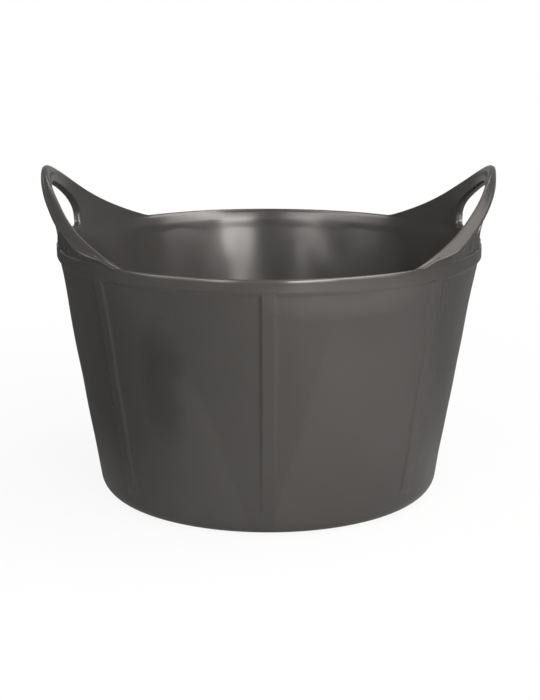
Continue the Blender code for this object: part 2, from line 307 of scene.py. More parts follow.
def wallProfile():
    # Radius and height of the outside from the foot's inner edge up to the band's face.
    fillet = mould["baseFillet"]
    reach = fillet / np.tan((np.pi / 2 + taper) / 2)
    centre = mould["baseRadius"] - reach
    footIn = footOut - mould["footWidth"]
    lift = mould["footLift"]
    foot = [(footIn, lift), (footIn + 0.3 * lift, 0.3 * lift), (footIn + lift, 0)]
    foot += [(r, 0) for r in np.linspace(footIn + lift, centre, 7)[1:]]
    turn = np.linspace(-np.pi / 2, -taper, 13)[1:]
    corner = np.stack((centre + fillet * np.cos(turn), fillet + fillet * np.sin(turn)), 1)
    low = rimHeight - mould["bandHeight"] - mould["bandStep"] / 2
    walls = np.linspace(corner[-1, 1], low, 47)[1:]
    step = np.linspace(low, low + mould["bandStep"], 8)[1:]
    swell = mould["bandProudLow"] * smooth((step - low) / mould["bandStep"])
    straight = np.stack((wallRadius(walls), walls), 1)
    under = np.stack((wallRadius(step) + swell, step), 1)
    return np.concatenate((foot, corner, straight, under)), centre


def bandRows(low, tall, wide):
    # Radius and height of the band's face and its elliptical top edge, for each column's own edge height.
    high = rimHeight - tall
    top = wallRadius(high) + mould["bandProudHigh"]
    rows = []
    for t in np.linspace(0, 1, 9)[1:]:
        z = mix(low, high, t)
        rows.append((wallRadius(z) + mix(mould["bandProudLow"], mould["bandProudHigh"], t), z))
    for t in np.radians(np.linspace(0, 90, 13)[1:]):
        rows.append((top - wide * (1 - np.cos(t)), high + tall * np.sin(t)))
    return np.array([r[0] + 0 * tall for r in rows]), np.array([r[1] + 0 * tall for r in rows])


def insideProfile(centre):
    # Radius and height of the inside from under the band down to the foot ring's inner edge.
    fillet = mould["baseFillet"] - mould["wall"]
    low = rimHeight - mould["bandHeight"] + mould["bandStepIn"] / 3
    step = np.linspace(low, low - mould["bandStepIn"], 12)
    inner = wallRadius(step) - levelWall
    turn = np.linspace(-taper, -np.pi / 2, 13)
    corner = np.stack((centre + fillet * np.cos(turn), mould["baseFillet"] + fillet * np.sin(turn)), 1)
    walls = np.linspace(step[-1], corner[0, 1], 43)[1:-1]
    straight = np.stack((wallRadius(walls) - levelWall, walls), 1)
    footIn = footOut - mould["footWidth"]
    floor = [(r, mould["wall"]) for r in np.linspace(centre, footIn, 7)[1:]]
    return np.concatenate((np.stack((inner, step), 1), straight, corner, floor))


def flangeRows(width, corner, panelDepth, shrink, inset, crest):
    # The rolled flange as (depth, drop) rows, from the panel's outer face out, round the lip and over to
    # the inner face: fillets are quarter circles. Each drop shrinks where the handle runs out into the rim.
    one = np.ones_like(width)
    web = handle["rollWeb"]
    fall = mix(handle["rollFall"], handle["rollFallCrest"], crest)
    crown = handle["rollCrown"] * (1 - crest)
    lowest = -handle["rollFall"] - handle["rollLip"]
    lipIn = np.maximum(width - handle["rollLipWall"], panelDepth)
    inside = np.minimum(handle["rollInside"], (lipIn - panelDepth) / 2)
    rows = []
    for angle in np.linspace(0, 1, 4) * np.pi / 2:
        under = -web - handle["rollInside"] * (1 - np.sin(angle)) * one
        rows.append((panelDepth + inside * (1 - np.cos(angle)), under))
    for t in (0.35, 0.7, 0.92):
        rows.append((mix(panelDepth + inside, lipIn, t), -web - fall * t))
    rows.append((lipIn, -web - fall - 0.0003))
    rows.append((lipIn, (lowest + 0.0003) * one))
    rows.append((mix(lipIn, width, 0.25), lowest * one))
    rows.append((mix(lipIn, width, 0.75), lowest * one))
    rows.append((width, (lowest + 0.0003) * one))
    edge = mix(handle["rollEdge"], handle["rollEdgeCrest"], crest)
    edge = np.minimum(edge, 0.8 * (width - corner - inset))
    for angle in np.radians(np.linspace(0, 90, 9)):
        rows.append((width - edge * (1 - np.cos(angle)), -fall - edge * (1 - np.sin(angle))))
    for t in np.linspace(0, 1, 10)[1:]:
        rows.append((mix(width - edge, inset + corner, t), -fall * (1 - t) + 4 * crown * t * (1 - t)))
    inner = []
    tall = corner * (1 + 0.8 * crest)
    for angle in np.radians(np.linspace(90, 180, 7)[1:]):
        inner.append((inset + corner * (1 + np.cos(angle)), -tall * (1 - np.sin(angle))))
    depth = np.array([r[0] for r in rows + inner])
    drop = np.concatenate((np.array([r[1] for r in rows]) * shrink, np.array([r[1] for r in inner])))
    return depth, drop


def collarRows(weight):
    # The edge of the hand hole as (away from the bore, depth) rows, from the inner face through the bore to
    # the panel's outer face. At weight 0 it is the plain rounded sill.
    flare = handle["flare"]
    wallT = handle["collar"]
    deep = handle["collarDepth"]
    tip = wallT / 2.4
    quarter = np.radians(np.linspace(-90, -180, 8))
    full = [(flare + flare * np.cos(a), flare + flare * np.sin(a)) for a in quarter]
    turn = np.radians(np.linspace(0, 90, 5))
    full += [(tip - tip * np.cos(a), deep - tip + tip * np.sin(a)) for a in turn]
    full += [(wallT - 0.0004, deep), (wallT, deep - 0.0004)]
    foot = handle["collarFoot"]
    outer = (wallT + foot, handle["panel"] + foot)
    turn = np.radians(np.linspace(-180, -90, 6))
    full += [(outer[0] + foot * np.cos(a), outer[1] + foot * np.sin(a)) for a in turn]
    full = np.array(full)
    sill = handle["sillRound"]
    plain = [(sill + sill * np.cos(a), sill + sill * np.sin(a)) for a in quarter]
    plain += [(0, d) for d in np.linspace(sill, handle["panel"], len(full) - len(plain) + 1)[1:]]
    return mix(np.array(plain)[:, None, :], full[:, None, :], weight[None, :, None])


def columnAngles():
    # Angles of the grid's columns round the rim, from the front seam to the back seam, and the numbers of
    # the columns at the kink and at the hole's two ends. Towards a seam each column is half as far from it
    # as the next.
    edge = np.degrees(mould["ribWidth"] / 2 / mould["rimRadius"])
    kink = np.degrees(np.arccos(handle["half"] / panelRadius))
    endY, endZ = holeEnd()
    reach = handle["collar"] + handle["collarFoot"]
    beside = np.degrees(np.arccos((endY + reach) / panelRadiusAt(endZ)))
    soft = np.degrees(0.8 * mould["ribSide"] / mould["rimRadius"])
    front = spread(0, kink, faceCounts["front"], (edge - soft,), 9, 0.4)
    front = np.concatenate(([0], front[1] * 2.0 ** np.arange(-6, 0), front[1:]))
    rib = mould["ribAngles"][1]
    leg = spread(kink, beside, faceCounts["leg"], (rib - edge + soft, rib + edge - soft), 7, 0.45)
    middle = np.linspace(beside, 180 - beside, faceCounts["hole"] + 1)
    half = np.concatenate((front, leg[1:], middle[1:]))
    back = 180 - np.concatenate((front, leg[1:]))[::-1]
    angles = np.radians(np.concatenate((half, back[1:])))
    first = len(front) + len(leg) - 2
    return angles, len(front) - 1, first, first + faceCounts["hole"]


def gridFaces(rows, columns, start=0):
    # Index quads of a grid whose points are stored row after row.
    i, j = np.meshgrid(np.arange(rows - 1), np.arange(columns - 1), indexing="ij")
    a = start + i * columns + j
    return np.stack((a, a + 1, a + columns + 1, a + columns), -1).reshape(-1, 4)


def placed(side, phi, radius, z):
    # Round the tub: phi runs from the front (-Y) past the handle (side * X) to the back.
    return np.stack((side * radius * np.sin(phi), -radius * np.cos(phi), z + 0 * phi), -1)


def warped(points):
    # Pushes points in and out along the level radius by the wave field, less and less towards the floor.
    flat = points.reshape(-1, 3)
    radius = np.hypot(flat[:, 0], flat[:, 1])
    keep = smooth((flat[:, 2] - 0.010) / 0.05) * smooth(radius / 0.1)
    scale = 1 + waveField(flat) * keep / np.maximum(radius, 0.01)
    return (flat * np.stack((scale, scale, np.ones_like(scale)), 1)).reshape(points.shape)


def acrossToAngle(y, radius):
    # The angle from the front at which a circle has this y.
    return np.arccos(np.clip(-y / radius, -1, 1))


def shellGrids(side):
    # One half of the moulding as four grids. The lower one runs from the slit down the inside, round the
    # foot and up the outside to the slit, the upper one over the flange, and two line the hand hole.
    holeSteps = faceCounts["hole"]
    angles, kink, first, last = columnAngles()
    hole = slice(first, last + 1)
    arch, sill = holeOutlines(holeSteps)
    archAway = awayFrom(arch, 1)
    sillAway = awayFrom(sill, -1)

    # Where each column meets the top edge
    rimY = -panelRadius * np.cos(angles)
    ratio = (handle["half"] - handle["edgeTop"]) / (handle["half"] - abs(rimY[first]))
    leg = np.abs(rimY) < handle["half"]
    topY = np.where(leg, np.sign(rimY) * (handle["half"] - (handle["half"] - np.abs(rimY)) * ratio), rimY)
    topY[hole] = np.linspace(-handle["edgeTop"], handle["edgeTop"], holeSteps + 1)
    crest = topEdge(topY)
    topPhi = np.where(leg, acrossToAngle(topY, panelRadiusAt(crest)), angles)
    rise = crest - rimHeight
    share = np.clip((np.abs(rimY[kink]) - np.abs(rimY)) / (abs(rimY[kink]) - abs(rimY[first])), 0, 1)

    # The flange's own sizes, column by column
    shrink = smooth((handle["half"] - 0.001 - np.abs(topY)) / handle["rollThin"])
    shrink = np.maximum(shrink, handle["rollThinnest"]) * smooth(rise / grown["thickness"])
    rimEdge = smooth(rise / grown["rimEdge"])
    edgeTall = mix(mould["bandRoundTall"], mould["bandRoundUnder"], rimEdge)
    flush = smooth((np.abs(topY) - handle["flushFrom"]) / (handle["flushTo"] - handle["flushFrom"]))
    flush = flush * smooth((rise - grown["flush"][0]) / grown["flush"][1])
    edgeRound = mix(mould["bandRound"], 0.0002, flush)
    ledgeDepth = bandDepth - slope * edgeTall - edgeRound
    lean = mould["bandLeanIn"] * (1 - rimEdge)
    panelDepth = mix(ledgeDepth, handle["panel"], (1 - flush) * smooth(rise / grown["panel"]))
    taperShare = smooth((handle["half"] - handle["rollTaperEnd"] - np.abs(topY)) / handle["rollTaper"])
    crestShare = smooth(1 - np.abs(topY) / handle["crestReach"])
    widest = mix(handle["rollWidth"], handle["rollWidthCrest"], crestShare)
    width = mix(handle["rollEnd"], widest, taperShare)
    width = mix(ledgeDepth, width, smooth((rise - grown["width"][0]) / grown["width"][1]))
    rounded = mix(handle["rollCorner"], handle["rollCornerCrest"], crestShare)
    corner = mix(mould["bandRoundIn"], rounded, smooth(rise / grown["corner"]))
    depth, drop = flangeRows(width, corner, panelDepth, shrink, lean, crestShare)

    # Outside of the wall, then the band's top as a ledge that runs in under the handle
    outside, centre = wallProfile()
    bandRadius, bandHeights = bandRows(outside[-1, 1], edgeTall, edgeRound)
    low = np.concatenate((outside[:, 1:] + 0 * angles, bandHeights))
    radius = np.concatenate((outside[:, :1] + 0 * angles, bandRadius))
    phi = aroundRibs(angles[None, :], low)
    bump = ribBump(phi, low)
    ribbed = wallRadius(low) + bump
    melt = 0.0003               # a rib runs up the band's step as a hyperbola between the two radii
    softMax = (radius + ribbed + np.sqrt((radius - ribbed) ** 2 + melt ** 2)) / 2
    raised = (bump > 1e-6) & (low > mould["ribFoot"])
    radius = np.where(raised, np.maximum(radius, softMax - melt / 2), radius)
    wallGrid = placed(side, phi, radius, low)

    ledge = []
    for t in (0.5, 1.0):
        d = mix(ledgeDepth, panelDepth + 0.0003 * shrink, t)
        ledge.append((d, rimHeight + 0 * d))
    ledge.append((panelDepth + 0.0001 * shrink, rimHeight + 0.0001 * shrink))
    ledgeGrid = np.array([placed(side, angles, panelRadius + d, z) for d, z in ledge])

    # The slit that the hand hole opens, on the outer and the inner face
    under = crest + drop[0]
    slit = holeEnd()[1] - rimHeight - handle["flare"] * np.sin(handle["holeLean"])
    slitOut = rimHeight + np.minimum(slit * share, 0.5 * np.maximum(under - rimHeight, 0))
    slitIn = rimHeight + mix(-0.003, slit, share)
    ones = np.ones(holeSteps + 1)
    flat = holeEnd()[0] - handle["holeCorner"]
    cornerWeight = smooth((np.abs(sill[:, 0]) - flat + handle["collarFade"]) / handle["collarFade"])
    archRows = collarRows(ones)
    sillRows = collarRows(cornerWeight)

    def onBore(line, away, rows):
        y = line[:, 0] + away[:, 0] * rows[..., 0]
        z = line[:, 1] + away[:, 1] * rows[..., 0]
        r = panelRadiusAt(z) + rows[..., 1]
        return acrossToAngle(y, r), r, z

    archPhi, archR, archZ = onBore(arch, archAway, archRows)
    sillPhi, sillR, sillZ = onBore(sill, sillAway, sillRows)

    # Between the ledge and the slit on the outer face
    outLow = {"phi": angles.copy(), "depth": panelDepth.copy(), "z": slitOut.copy()}
    outLow["phi"][hole] = sillPhi[-1]
    outLow["z"][hole] = sillZ[-1]
    step = np.linspace(0, 1, 9)[:, None]
    foot = rimHeight + 0.0003 * shrink * np.minimum(1, (outLow["z"] - rimHeight) / 0.002)
    z = mix(foot, outLow["z"], step)
    lowGrid = placed(side, mix(angles, outLow["phi"], step), panelRadiusAt(z) + panelDepth, z)

    # Between the slit and the flange on the outer face, then round the flange
    outHigh = {"phi": angles.copy(), "z": slitOut.copy()}
    outHigh["phi"][hole] = archPhi[-1]
    outHigh["z"][hole] = archZ[-1]
    flangeR = panelRadiusAt(crest) + depth
    flangePhi = topPhi + 0 * depth
    flangeZ = topEdge(-flangeR * np.cos(flangePhi)) + drop
    step = np.linspace(0, 1, 15)[:, None]
    z = mix(outHigh["z"], flangeZ[0], step)
    highR = mix(panelRadiusAt(z) + panelDepth, flangeR[0], step ** 4)
    highGrid = placed(side, mix(outHigh["phi"], topPhi, step), highR, z)
    flangeGrid = placed(side, flangePhi, flangeR, flangeZ)

    # The inner face, above and below the slit
    inHigh = {"phi": angles.copy(), "z": slitIn.copy()}
    inHigh["phi"][hole] = archPhi[0]
    inHigh["z"][hole] = archZ[0]
    step = np.linspace(0, 1, 17)[:, None]
    z = mix(flangeZ[-1], inHigh["z"], step)
    bottom = rimHeight - mould["bandHeight"] + mould["bandStepIn"] / 3
    reach = rimHeight - mould["bandRoundIn"] - bottom
    leaning = lean * np.clip((z - bottom) / reach, 0, 1) ** 1.5
    fit = flangeR[-1] - panelRadiusAt(flangeZ[-1]) - leaning[0]
    faceR = panelRadiusAt(z) + leaning + fit * (1 - step)
    faceGrid = placed(side, mix(topPhi, inHigh["phi"], step), faceR, z)

    inLow = {"phi": angles.copy(), "z": slitIn.copy()}
    inLow["phi"][hole] = sillPhi[0]
    inLow["z"][hole] = sillZ[0]
    inside = insideProfile(centre)
    step = np.linspace(0, 1, 13)[:, None]
    z = mix(inLow["z"], inside[0, 1], step)
    belowPhi = mix(inLow["phi"], angles, step)
    reach = rimHeight - mould["bandRoundIn"] - inside[0, 1]
    leaning = lean * np.clip((z - inside[0, 1]) / reach, 0, 1) ** 1.5
    long = mix(mould["bandStepIn"], mould["bandStepInLug"], smooth(rise / grown["bandIn"]))
    long = long * (1 + 0.3 * np.sin(9 * angles + 1) + 0.2 * np.sin(23 * angles))
    proud = mould["bandProudIn"] * smooth(1 - (inside[0, 1] - inside[:, 1:]) / long)
    insideR = inside[:, :1] - proud
    fade = insideR[0] - panelRadiusAt(inside[0, 1])
    belowGrid = placed(side, belowPhi, panelRadiusAt(z) + leaning + fade * step ** 3, z)
    insideGrid = placed(side, angles[None, :] + 0 * inside[:, :1], insideR, inside[:, 1:])

    lower = np.concatenate((belowGrid, insideGrid[1:], wallGrid, ledgeGrid, lowGrid))
    upper = np.concatenate((highGrid, flangeGrid[1:], faceGrid[1:]))
    archGrid = placed(side, archPhi, archR, archZ)
    sillGrid = placed(side, sillPhi, sillR, sillZ)
    return [lower, upper, archGrid, sillGrid]


def closedMesh(name, grids, capEnds=False):
    # Joins the grids where their edges coincide, and caps what is left open: the seam on the tub's middle
    # plane, or a ridge's two ends.
    points = []
    faces = []
    for grid in grids:
        start = sum(len(p) for p in points)
        points.append(warped(grid).reshape(-1, 3))
        faces.append(gridFaces(grid.shape[0], grid.shape[1], start))
    mesh = bpy.data.meshes.new(name)
    mesh.from_pydata(np.concatenate(points).tolist(), [], np.concatenate(faces).tolist())
    bm = bmesh.new()
    bm.from_mesh(mesh)
    bmesh.ops.remove_doubles(bm, verts=bm.verts, dist=1e-7)
    if capEnds:
        bmesh.ops.holes_fill(bm, edges=[e for e in bm.edges if e.is_boundary], sides=0)
    else:
        bmesh.ops.triangle_fill(bm, use_beauty=True, edges=[e for e in bm.edges if e.is_boundary])
    bmesh.ops.recalc_face_normals(bm, faces=bm.faces)
    loose = [e for e in bm.edges if len(e.link_faces) != 2]
    if loose:
        print(name, "edges without two faces:", len(loose))
    bm.to_mesh(mesh)
    bm.free()
    mesh.shade_smooth()
    mesh.set_sharp_from_angle(angle=np.radians(50))
    piece = bpy.data.objects.new(name, mesh)
    bpy.context.scene.collection.objects.link(piece)
    return piece


# What a user would change under the floor
floorDisc = {
    "recess": 0.002,
    "step": 0.006,              # width of the slope between the foot ring and the raised floor
    "gateRadius": 0.006,        # the mould's injection point, under the middle
    "gateDepth": 0.0008,
    "steps": 144,
}


def turned(name, profile, steps):
    # A closed profile of radius and height turned round Z, with its ends closed on the axis.
    profile = np.array(profile)
    angles = np.linspace(0, 2 * np.pi, steps + 1)
    grid = placed(1, angles[None, :] + 0 * profile[:, :1], profile[:, :1], profile[:, 1:])
    return closedMesh(name, [grid])


def makeFloor():
    # The raised floor: level, with a smooth step down to the foot ring, above and below.
    edge = footOut - mould["footWidth"]
    flat = edge - floorDisc["step"]
    high = mould["wall"] + floorDisc["recess"]
    across = np.linspace(0, 1, 13)
    top = [(r, high) for r in np.linspace(0, flat, 12)[:-1]]
    top += [(flat + floorDisc["step"] * t, high - floorDisc["recess"] * smooth(t)) for t in across]
    radius = floorDisc["gateRadius"]
    gate = np.linspace(0, 1.2, 11) * radius
    dip = floorDisc["gateDepth"] * (1 - smooth((gate - 0.8 * radius) / (0.4 * radius)))
    below = list(zip(gate, floorDisc["recess"] - dip))
    below += [(r, floorDisc["recess"]) for r in np.linspace(1.2 * radius, flat, 12)[1:-1]]
    rise = mix(floorDisc["recess"], mould["footLift"], smooth(across))
    slopeDown = list(zip(flat + floorDisc["step"] * across, rise))
    return turned("floor_disc", top + (below + slopeDown)[::-1], floorDisc["steps"])


# What a user would change on the ridges that stiffen each handle
ridges = {
    "web": 0.0026,
    "webFromHole": 0.0079,
    "webLow": 0.0016,           # its foot above the rim
    "webFoot": 0.0016,          # how far it stands out at its foot
    "brace": 0.0020,
    "braceFrom": (0.080, 0.0235),   # across the tub and above the rim: its upper end
    "braceTo": (0.119, 0.0036),     # and its lower
    "innerFrom": (0.0775, 0.0190),  # the same for the shorter ridge beside it
    "innerTo": (0.1010, 0.0052),
    "braceTall": 0.0030,
    "sunk": 0.0005,             # how far a ridge starts inside the panel
}


def ridgeSection(width, tall):
    # Across a ridge, as offsets and heights: a concave foot, an upright side and a round back.
    foot = 0.35 * width
    back = width / 2
    side = np.maximum(tall - back, 0.0002)
    turn = np.radians(np.linspace(0, 90, 6))
    curve = [(-back - foot * (1 - np.sin(a)), foot * (1 - np.cos(a))) for a in turn]
    left = [(-back - foot, -ridges["sunk"])] + [(a, np.minimum(b, side)) for a, b in curve]
    for a in np.radians(np.linspace(180, 90, 8)):
        left.append((back * np.cos(a), side + (tall - side) * np.sin(a)))
    right = [(-a, b) for a, b in left[:-1]][::-1]
    return left + right


def ridgeGrid(side, middle, width, tall, underFlange=False):
    # A ridge that follows a line up the outer face. Its top end can follow the flange's sloping underside.
    along = np.gradient(middle, axis=0)
    along /= np.linalg.norm(along, axis=1)[:, None]
    square = np.stack((-along[:, 1], along[:, 0]), 1)
    rows = []
    for across, high in ridgeSection(width, tall):
        y = middle[:, 0] + square[:, 0] * across
        z = middle[:, 1] + square[:, 1] * across
        high = high + 0 * y
        if underFlange:
            share = (middle[:, 1] - middle[0, 1]) / (middle[-1, 1] - middle[0, 1])
            out = high[-1] / (handle["rollWidth"] - 0.004)
            fall = handle["rollFall"] * np.clip(out, 0, 1)
            top = topEdge(y) - handle["rollWeb"] - fall + 0.0007
            z = mix(middle[0, 1], top, share)
        r = panelRadiusAt(z) + handle["panel"] + high
        rows.append(placed(side, acrossToAngle(y, r), r, z))
    rows.append(rows[0])
    return np.array(rows)


def makeRidges(side, word):
    # The web beside each end of the hole, and the pair of sloping ridges on each leg.
    made = []
    for place, end in (("front", -1), ("back", 1)):
        y = end * (handle["holeHalf"] + ridges["webFromHole"])
        low = rimHeight + ridges["webLow"]
        high = topEdge(np.array(y)) - handle["rollWeb"]
        z = np.linspace(low, high, 25)
        wide = handle["rollWidth"] - handle["rollLipWall"] - handle["panel"] - 0.0008
        tall = mix(ridges["webFoot"], wide, ((z - low) / (high - low)) ** 1.15)
        web = ridgeGrid(side, np.stack((y + 0 * z, z), 1), ridges["web"], tall, True)
        made.append(("grip_web", closedMesh("side_web_%s_%s" % (place, word), [web], True), place))
        share = np.linspace(0, 1, 25)
        tall = ridges["braceTall"] * (1 - 0.6 * share) * np.sqrt(np.clip(1 - (2 * share - 1) ** 8, 0.02, 1))
        pair = []
        for start, finish in (("braceFrom", "braceTo"), ("innerFrom", "innerTo")):
            line = mix(np.array(ridges[start]), np.array(ridges[finish]), share[:, None])
            line = line * (end, 1) + (0, rimHeight)
            pair.append(ridgeGrid(side, line, ridges["brace"], tall))
        made.append(("leg_brace", closedMesh("leg_ridge_%s_%s" % (place, word), pair, True), place))
    return made


def link(tree, source, target):
    tree.links.new(source, target)


def newNode(tree, kind, **settings):
    # A shader node with its sockets or its own settings set by name.
    node = tree.nodes.new("ShaderNode" + kind)
    for name, value in settings.items():
        if name in node.inputs:
            node.inputs[name].default_value = value
        else:
            setattr(node, name, value)
    return node


# What a user would change on the plastic
plastic = {
    "dark": (0.026, 0.0250, 0.0237, 1),
    "pale": (0.058, 0.0558, 0.0528, 1),
    "tone": (0.48, 0.76),       # how far from dark to pale the mottle reaches
    "broad": 0.88,              # share of the broad mottle, the rest being fine
    "roughLow": 0.205,
    "roughHigh": 0.275,
    "paintedSheen": 0.16,               # how strongly the painted reflections between the ribs show
    "paintedPatchStrength": 0.5,               # and the painted shade and painted highlight patches beside them
    "specks": 22,               # cells for each metre, each with one light speck
    "ripple": 0.06,             # strength of the long ripples in the gloss
    "rippleTall": 0.0008,
}


def noise(tree, place, scale, detail=2.0, stretch=None):
    # Noise with scale features to a metre. Stretch turns it into streaks.
    if stretch:
        mapping = newNode(tree, "Mapping")
        mapping.inputs["Scale"].default_value = stretch
        link(tree, place, mapping.inputs["Vector"])
        place = mapping.outputs["Vector"]
    node = newNode(tree, "TexNoise", Scale=scale, Detail=detail, Roughness=0.5)
    link(tree, place, node.inputs["Vector"])
    return node.outputs["Fac"]


def ramp(tree, source, low, high, start=0.0, end=1.0):
    # A straight line from start at low to end at high, level outside.
    node = newNode(tree, "MapRange")
    for name, value in (("From Min", low), ("From Max", high), ("To Min", start), ("To Max", end)):
        node.inputs[name].default_value = value
    node.clamp = True
    link(tree, source, node.inputs["Value"])
    return node.outputs["Result"]


def combine(tree, operation, a, b):
    # One step of arithmetic on sockets or numbers.
    node = newNode(tree, "Math", operation=operation)
    for socket, value in zip(node.inputs, (a, b)):
        if isinstance(value, (int, float)):
            socket.default_value = value
        else:
            link(tree, value, socket)
    return node.outputs["Value"]


# Painted reflections: edges with lighter colour on one side, standing in for light wedges mirrored in the
# wall. Each edge: the angle from the front at the floor and at the upper end, the upper end's height, and
# the side and width in degrees over which the lighter colour beside it fades
paintedSheenEdges = (
    (-4.5, -21.5, 0.172, -1, 28),
    (0.5, 17.3, 0.222, 1, 34),
    (172, 160, 0.18, -1, 25),
    (-176, -160, 0.19, 1, 25),
)

# Painted patches: the dark ones are painted shade, the light one under the band a painted highlight. Each:
# angle, height, half width in degrees, half height, and how dark (below 0 is light)
paintedLightPatches = (
    (-30, 0.147, 6, 0.050, 0.75),
    (-46, 0.105, 17, 0.10, 0.5),
    (20, 0.228, 19, 0.016, -1.0),
    (140, 0.12, 12, 0.06, 0.4),
)


def paintedLightMarks(tree, place):
    # Painted light in the colour: beside each edge it is lighter on one side, a painted reflection. Each
    # patch is a
    # soft ellipse of angle and height: painted shade where dark, a painted highlight where light.
    axes = newNode(tree, "SeparateXYZ")
    link(tree, place, axes.inputs["Vector"])
    turn = combine(tree, "ARCTAN2", axes.outputs["X"], combine(tree, "MULTIPLY", axes.outputs["Y"], -1))
    wobble = ramp(tree, noise(tree, place, 22), 0, 1, -0.03, 0.03)
    soft = combine(tree, "ADD", turn, combine(tree, "MULTIPLY", wobble, 3))
    turn = combine(tree, "ADD", turn, wobble)
    light = 0.0
    for low, high, top, way, fade in paintedSheenEdges:
        edge = ramp(tree, axes.outputs["Z"], 0.0, top, radians(low), radians(high))
        beside = combine(tree, "MULTIPLY", combine(tree, "SUBTRACT", turn, edge), way)
        faded = ramp(tree, beside, 0.05, radians(fade), 1.0, 0.0)
        side = combine(tree, "MULTIPLY", ramp(tree, beside, 0.0, 0.022), faded)
        side = combine(tree, "MULTIPLY", side, ramp(tree, axes.outputs["Z"], 0.75 * top, top, 1.0, 0.0))
        light = combine(tree, "ADD", light, side)
    dark = 0.0
    for middle, height, half, tall, strength in paintedLightPatches:
        away = combine(tree, "DIVIDE", combine(tree, "SUBTRACT", soft, radians(middle)), radians(half))
        above = combine(tree, "DIVIDE", combine(tree, "SUBTRACT", axes.outputs["Z"], height), tall)
        squares = [combine(tree, "MULTIPLY", offset, offset) for offset in (away, above)]
        far = combine(tree, "ADD", *squares)
        dark = combine(tree, "ADD", dark, ramp(tree, far, 1.7, 0.2, 0.0, strength))
    return light, dark


def makePlastic(name, look):
    # Soft polyethylene: mottled colour with specks and painted light and shade, uneven gloss and long
    # shallow ripples.
    material = bpy.data.materials.new(name)
    material.use_nodes = True
    tree = material.node_tree
    tree.nodes.clear()
    out = newNode(tree, "OutputMaterial")
    shader = newNode(tree, "BsdfPrincipled")
    link(tree, shader.outputs["BSDF"], out.inputs["Surface"])
    place = newNode(tree, "TexCoord").outputs["Object"]

    broad = noise(tree, place, 7)
    fine = noise(tree, place, 260)
    uneven = noise(tree, place, 30, 3)
    streak = noise(tree, place, 60, 2, (1, 1, 0.12))

    speck = newNode(tree, "TexVoronoi", Scale=look["specks"])
    link(tree, place, speck.inputs["Vector"])
    specks = ramp(tree, speck.outputs["Distance"], 0.016, 0.008)

    colour = newNode(tree, "Mix", data_type="RGBA", clamp_factor=False)
    colour.inputs["A"].default_value = look["dark"]
    colour.inputs["B"].default_value = look["pale"]
    broad = combine(tree, "MULTIPLY", broad, look["broad"])
    mottle = combine(tree, "ADD", broad, combine(tree, "MULTIPLY", fine, 1 - look["broad"]))
    # The painted reflections, painted shade and painted highlight, laid into the colour with the specks
    light, dark = paintedLightMarks(tree, place)
    paintedLightAndSpecks = combine(tree, "MULTIPLY", light, look["paintedSheen"])
    paintedLightAndSpecks = combine(tree, "SUBTRACT", paintedLightAndSpecks, combine(tree, "MULTIPLY", dark, look["paintedPatchStrength"]))
    paintedLightAndSpecks = combine(tree, "ADD", paintedLightAndSpecks, specks)
    tone = combine(tree, "ADD", ramp(tree, mottle, 0.2, 0.8, *look["tone"]), paintedLightAndSpecks)
    link(tree, tone, colour.inputs["Factor"])
    link(tree, colour.outputs["Result"], shader.inputs["Base Color"])

    halves = [combine(tree, "MULTIPLY", part, 0.5) for part in (uneven, streak)]
    rough = ramp(tree, combine(tree, "ADD", *halves), 0.2, 0.8, look["roughLow"], look["roughHigh"])
    link(tree, rough, shader.inputs["Roughness"])

    ripple = newNode(tree, "Bump", Strength=look["ripple"], Distance=look["rippleTall"])
    link(tree, noise(tree, place, 26, 2, (1, 1, 0.55)), ripple.inputs["Height"])
    link(tree, ripple.outputs["Normal"], shader.inputs["Normal"])
    return material


# What a user would change on the studio's floor. Each slope has its start and end in metres, and then its
# values there.
studioFloor = {
    "reach": 6.0,               # half its width
    "matt": 0.86,               # how light it is for soft light
    # The next four slopes paint shade and light on the floor for gloss rays only: darker to the left and
    # behind, lighter by the foot on the left
    "across": (-0.30, 0.25, 0.10, 0.52),    # how light in the tub's gloss, from left to right
    "byFoot": (0.20, 0.32, 0.22, 0.0),      # more near the tub's foot, by the distance from its middle
    "byFootLeft": (-0.12, 0.08, 1.0, 0.0),  # but only on the left
    "behind": (-0.15, 0.12, 1.0, 0.35),     # and the share of all that from front to back
    "plain": (0.25, 0.9, 0.90, 1.0),        # how far the camera sees it plain white, by the same distance
}


